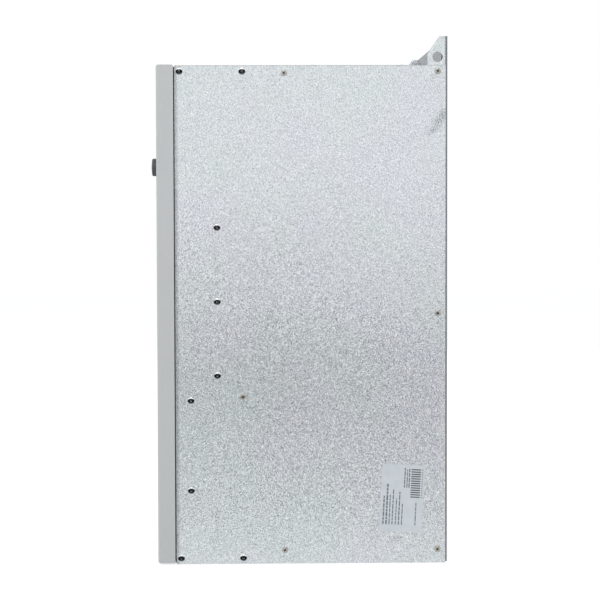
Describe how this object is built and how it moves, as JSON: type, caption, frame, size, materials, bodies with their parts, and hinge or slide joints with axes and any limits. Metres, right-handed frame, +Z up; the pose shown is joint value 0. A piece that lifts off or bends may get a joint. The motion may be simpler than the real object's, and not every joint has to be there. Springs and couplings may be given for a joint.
{
  "type": "wall-mounted frequency converter",
  "caption": "Tall wall-mounted AC motor drive: galvanised sheet-steel case, grey front cover with keypad and knob, rear air duct with finned heatsink and top fans, keyhole back plate.",
  "frame": {"origin": "middle of the bounding box's underside: the lower edges of the side panels are at z = 0", "axes": "+Z up, the front cover faces -Y, the wall is at +Y, +X is the right side seen from the front"},
  "size_m": [0.3, 0.3516, 0.6135],
  "materials": {
    "galvanised_sheet": "hot-dip galvanised sheet with a fine spangle",
    "cover_paint": "smooth light grey powder coat",
    "bush_rubber": "black moulded rubber",
    "sink_aluminium": "plain extruded and sawn aluminium",
    "black_moulding": "black moulded plastic",
    "can_aluminium": "drawn aluminium can",
    "copper": "bare copper",
    "core_iron": "varnished laminated iron",
    "board_laminate": "green solder mask on glass laminate",
    "terminal_green": "green moulded terminals",
    "fan_moulding": "black glass-filled plastic",
    "guard_wire": "plated wire",
    "keypad_moulding": "dark grey moulded plastic",
    "display_lens": "dark red display window",
    "key_grey": "light grey moulded key",
    "key_green": "green moulded key",
    "key_red": "red moulded key",
    "knob_moulding": "dark grey moulded knob"
  },
  "bodies": {
    "case": {"back_plate": "galvanised_sheet", "side_panel_right": "galvanised_sheet", "side_panel_left": "galvanised_sheet", "top_plate": "galvanised_sheet", "base_plate": "galvanised_sheet", "partition": "galvanised_sheet", "fan_tray": "galvanised_sheet", "inlet_grille": "galvanised_sheet", "cover_rail_lower": "galvanised_sheet", "cover_rail_upper": "galvanised_sheet", "board_plate": "galvanised_sheet", "terminal_deck": "galvanised_sheet", "front_cover": "cover_paint", "line_cable_bush": "bush_rubber", "motor_cable_bush": "bush_rubber", "brake_cable_bush": "bush_rubber", "control_cable_bush": "bush_rubber", "heatsink": "sink_aluminium", "inverter_module_u": "black_moulding", "inverter_module_v": "black_moulding", "inverter_module_w": "black_moulding", "rectifier_module_u": "black_moulding", "rectifier_module_v": "black_moulding", "rectifier_module_w": "black_moulding", "capacitor_1": "can_aluminium", "capacitor_2": "can_aluminium", "capacitor_3": "can_aluminium", "capacitor_4": "can_aluminium", "capacitor_5": "can_aluminium", "capacitor_6": "can_aluminium", "positive_bar": "copper", "negative_bar": "copper", "ground_bar": "copper", "choke_coil_right": "copper", "choke_coil_left": "copper", "choke_core": "core_iron", "driver_board": "board_laminate", "control_board": "board_laminate", "keypad_board": "board_laminate", "control_terminals": "terminal_green", "terminal_block": "black_moulding", "fan_frame_left": "fan_moulding", "fan_frame_right": "fan_moulding", "fan_guard_left": "guard_wire", "fan_guard_right": "guard_wire", "keypad_housing": "keypad_moulding", "keypad_window": "display_lens", "potentiometer": "black_moulding"},
    "key_program": {"key_program": "key_grey"},
    "key_up": {"key_up": "key_grey"},
    "key_enter": {"key_enter": "key_grey"},
    "key_shift": {"key_shift": "key_grey"},
    "key_jog": {"key_jog": "key_grey"},
    "key_down": {"key_down": "key_grey"},
    "key_run": {"key_run": "key_green"},
    "key_stop": {"key_stop": "key_red"},
    "knob": {"knob": "knob_moulding"},
    "fan_rotor_left": {"fan_rotor_left": "fan_moulding"},
    "fan_rotor_right": {"fan_rotor_right": "fan_moulding"}
  },
  "joints": [
    {"name": "knob_turn", "type": "hinge", "parent": "case", "child": "knob", "pos_m": [0, -0.16225, 0.4665], "axis": [0, 1, 0], "range_deg": [-135, 135]},
    {"name": "key_program_press", "type": "slide", "parent": "case", "child": "key_program", "axis": [0, 1, 0], "range_m": [0, 0.001], "stiffness_N_per_m": 800},
    {"name": "key_up_press", "type": "slide", "parent": "case", "child": "key_up", "axis": [0, 1, 0], "range_m": [0, 0.001], "stiffness_N_per_m": 800},
    {"name": "key_enter_press", "type": "slide", "parent": "case", "child": "key_enter", "axis": [0, 1, 0], "range_m": [0, 0.001], "stiffness_N_per_m": 800},
    {"name": "key_shift_press", "type": "slide", "parent": "case", "child": "key_shift", "axis": [0, 1, 0], "range_m": [0, 0.001], "stiffness_N_per_m": 800},
    {"name": "key_jog_press", "type": "slide", "parent": "case", "child": "key_jog", "axis": [0, 1, 0], "range_m": [0, 0.001], "stiffness_N_per_m": 800},
    {"name": "key_down_press", "type": "slide", "parent": "case", "child": "key_down", "axis": [0, 1, 0], "range_m": [0, 0.001], "stiffness_N_per_m": 800},
    {"name": "key_run_press", "type": "slide", "parent": "case", "child": "key_run", "axis": [0, 1, 0], "range_m": [0, 0.001], "stiffness_N_per_m": 800},
    {"name": "key_stop_press", "type": "slide", "parent": "case", "child": "key_stop", "axis": [0, 1, 0], "range_m": [0, 0.001], "stiffness_N_per_m": 800},
    {"name": "fan_spin_left", "type": "hinge", "parent": "case", "child": "fan_rotor_left", "pos_m": [-0.063, 0.073, 0.56], "axis": [0, 0, 1], "continuous": true},
    {"name": "fan_spin_right", "type": "hinge", "parent": "case", "child": "fan_rotor_right", "pos_m": [0.063, 0.073, 0.56], "axis": [0, 0, 1], "continuous": true}
  ]
}
